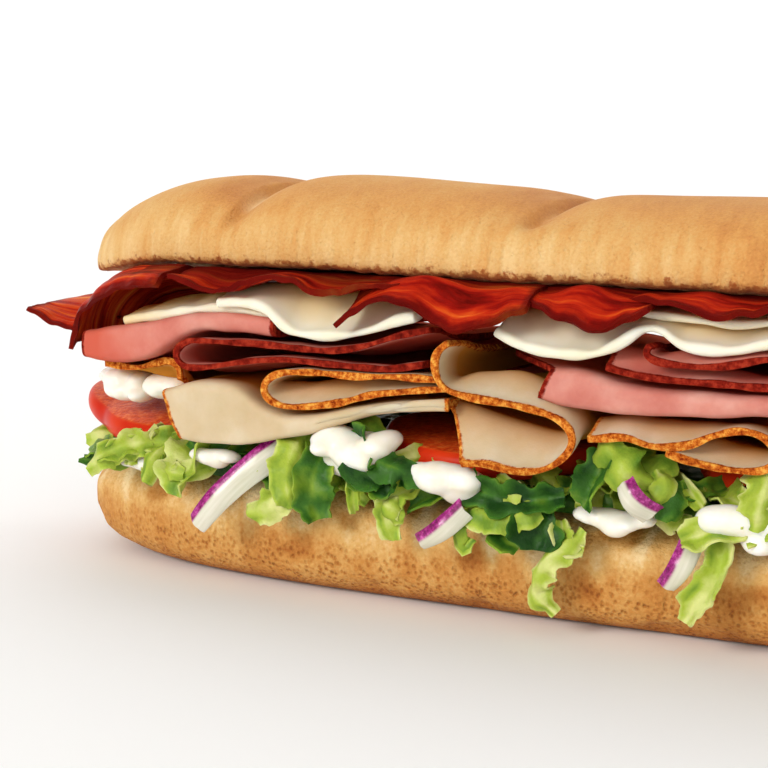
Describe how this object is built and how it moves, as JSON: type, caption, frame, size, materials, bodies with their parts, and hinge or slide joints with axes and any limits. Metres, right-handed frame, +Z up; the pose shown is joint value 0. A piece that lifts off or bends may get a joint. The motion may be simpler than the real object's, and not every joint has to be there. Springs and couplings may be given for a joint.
{
  "type": "submarine sandwich",
  "caption": "Long split roll with slashed top, filled with folded turkey and ham, cheese, bacon, tomato, red onion, creamy sauce and shredded lettuce.",
  "frame": {"origin": "middle of the flat base of the roll's lower half, on the surface that it rests on", "axes": "+X along the roll, away from the end that the picture shows; -Y to the side that the picture shows; +Z up"},
  "size_m": [0.2974, 0.0955, 0.0846],
  "materials": {
    "bread_top": "baked crust, matt with a faint sheen",
    "bread_base": "baked crust, matt and pored",
    "turkey": "moist sliced meat with an orange rind",
    "ham": "moist sliced meat with a dark red rim",
    "cheese": "smooth and creamy, satin",
    "bacon": "crisp and fatty, glossy",
    "tomato": "wet flesh and glossy skin",
    "onion": "crisp and moist, satin",
    "sauce": "creamy, glossy",
    "lettuce": "fresh leaf, satin"
  },
  "bodies": {
    "root": {"bacon_1": "bacon", "bacon_10": "bacon", "bacon_11": "bacon", "bacon_12": "bacon", "bacon_13": "bacon", "bacon_2": "bacon", "bacon_3": "bacon", "bacon_4": "bacon", "bacon_5": "bacon", "bacon_6": "bacon", "bacon_7": "bacon", "bacon_8": "bacon", "bacon_9": "bacon", "bun_bottom": "bread_base", "bun_top": "bread_top", "cheese_1": "cheese", "cheese_2": "cheese", "cheese_3": "cheese", "cheese_4": "cheese", "cheese_5": "cheese", "cheese_6": "cheese", "ham_1": "ham", "ham_2": "ham", "ham_3": "ham", "ham_4": "ham", "ham_5": "ham", "ham_6": "ham", "ham_7": "ham", "lettuce": "lettuce", "onion_1": "onion", "onion_2": "onion", "onion_3": "onion", "onion_4": "onion", "onion_5": "onion", "onion_6": "onion", "onion_7": "onion", "sauce_1": "sauce", "sauce_10": "sauce", "sauce_11": "sauce", "sauce_2": "sauce", "sauce_3": "sauce", "sauce_4": "sauce", "sauce_5": "sauce", "sauce_6": "sauce", "sauce_7": "sauce", "sauce_8": "sauce", "sauce_9": "sauce", "tomato_1": "tomato", "tomato_2": "tomato", "tomato_3": "tomato", "tomato_4": "tomato", "turkey_1": "turkey", "turkey_2": "turkey", "turkey_3": "turkey", "turkey_4": "turkey", "turkey_5": "turkey", "turkey_6": "turkey", "turkey_7": "turkey", "turkey_8": "turkey"}
  },
  "joints": []
}
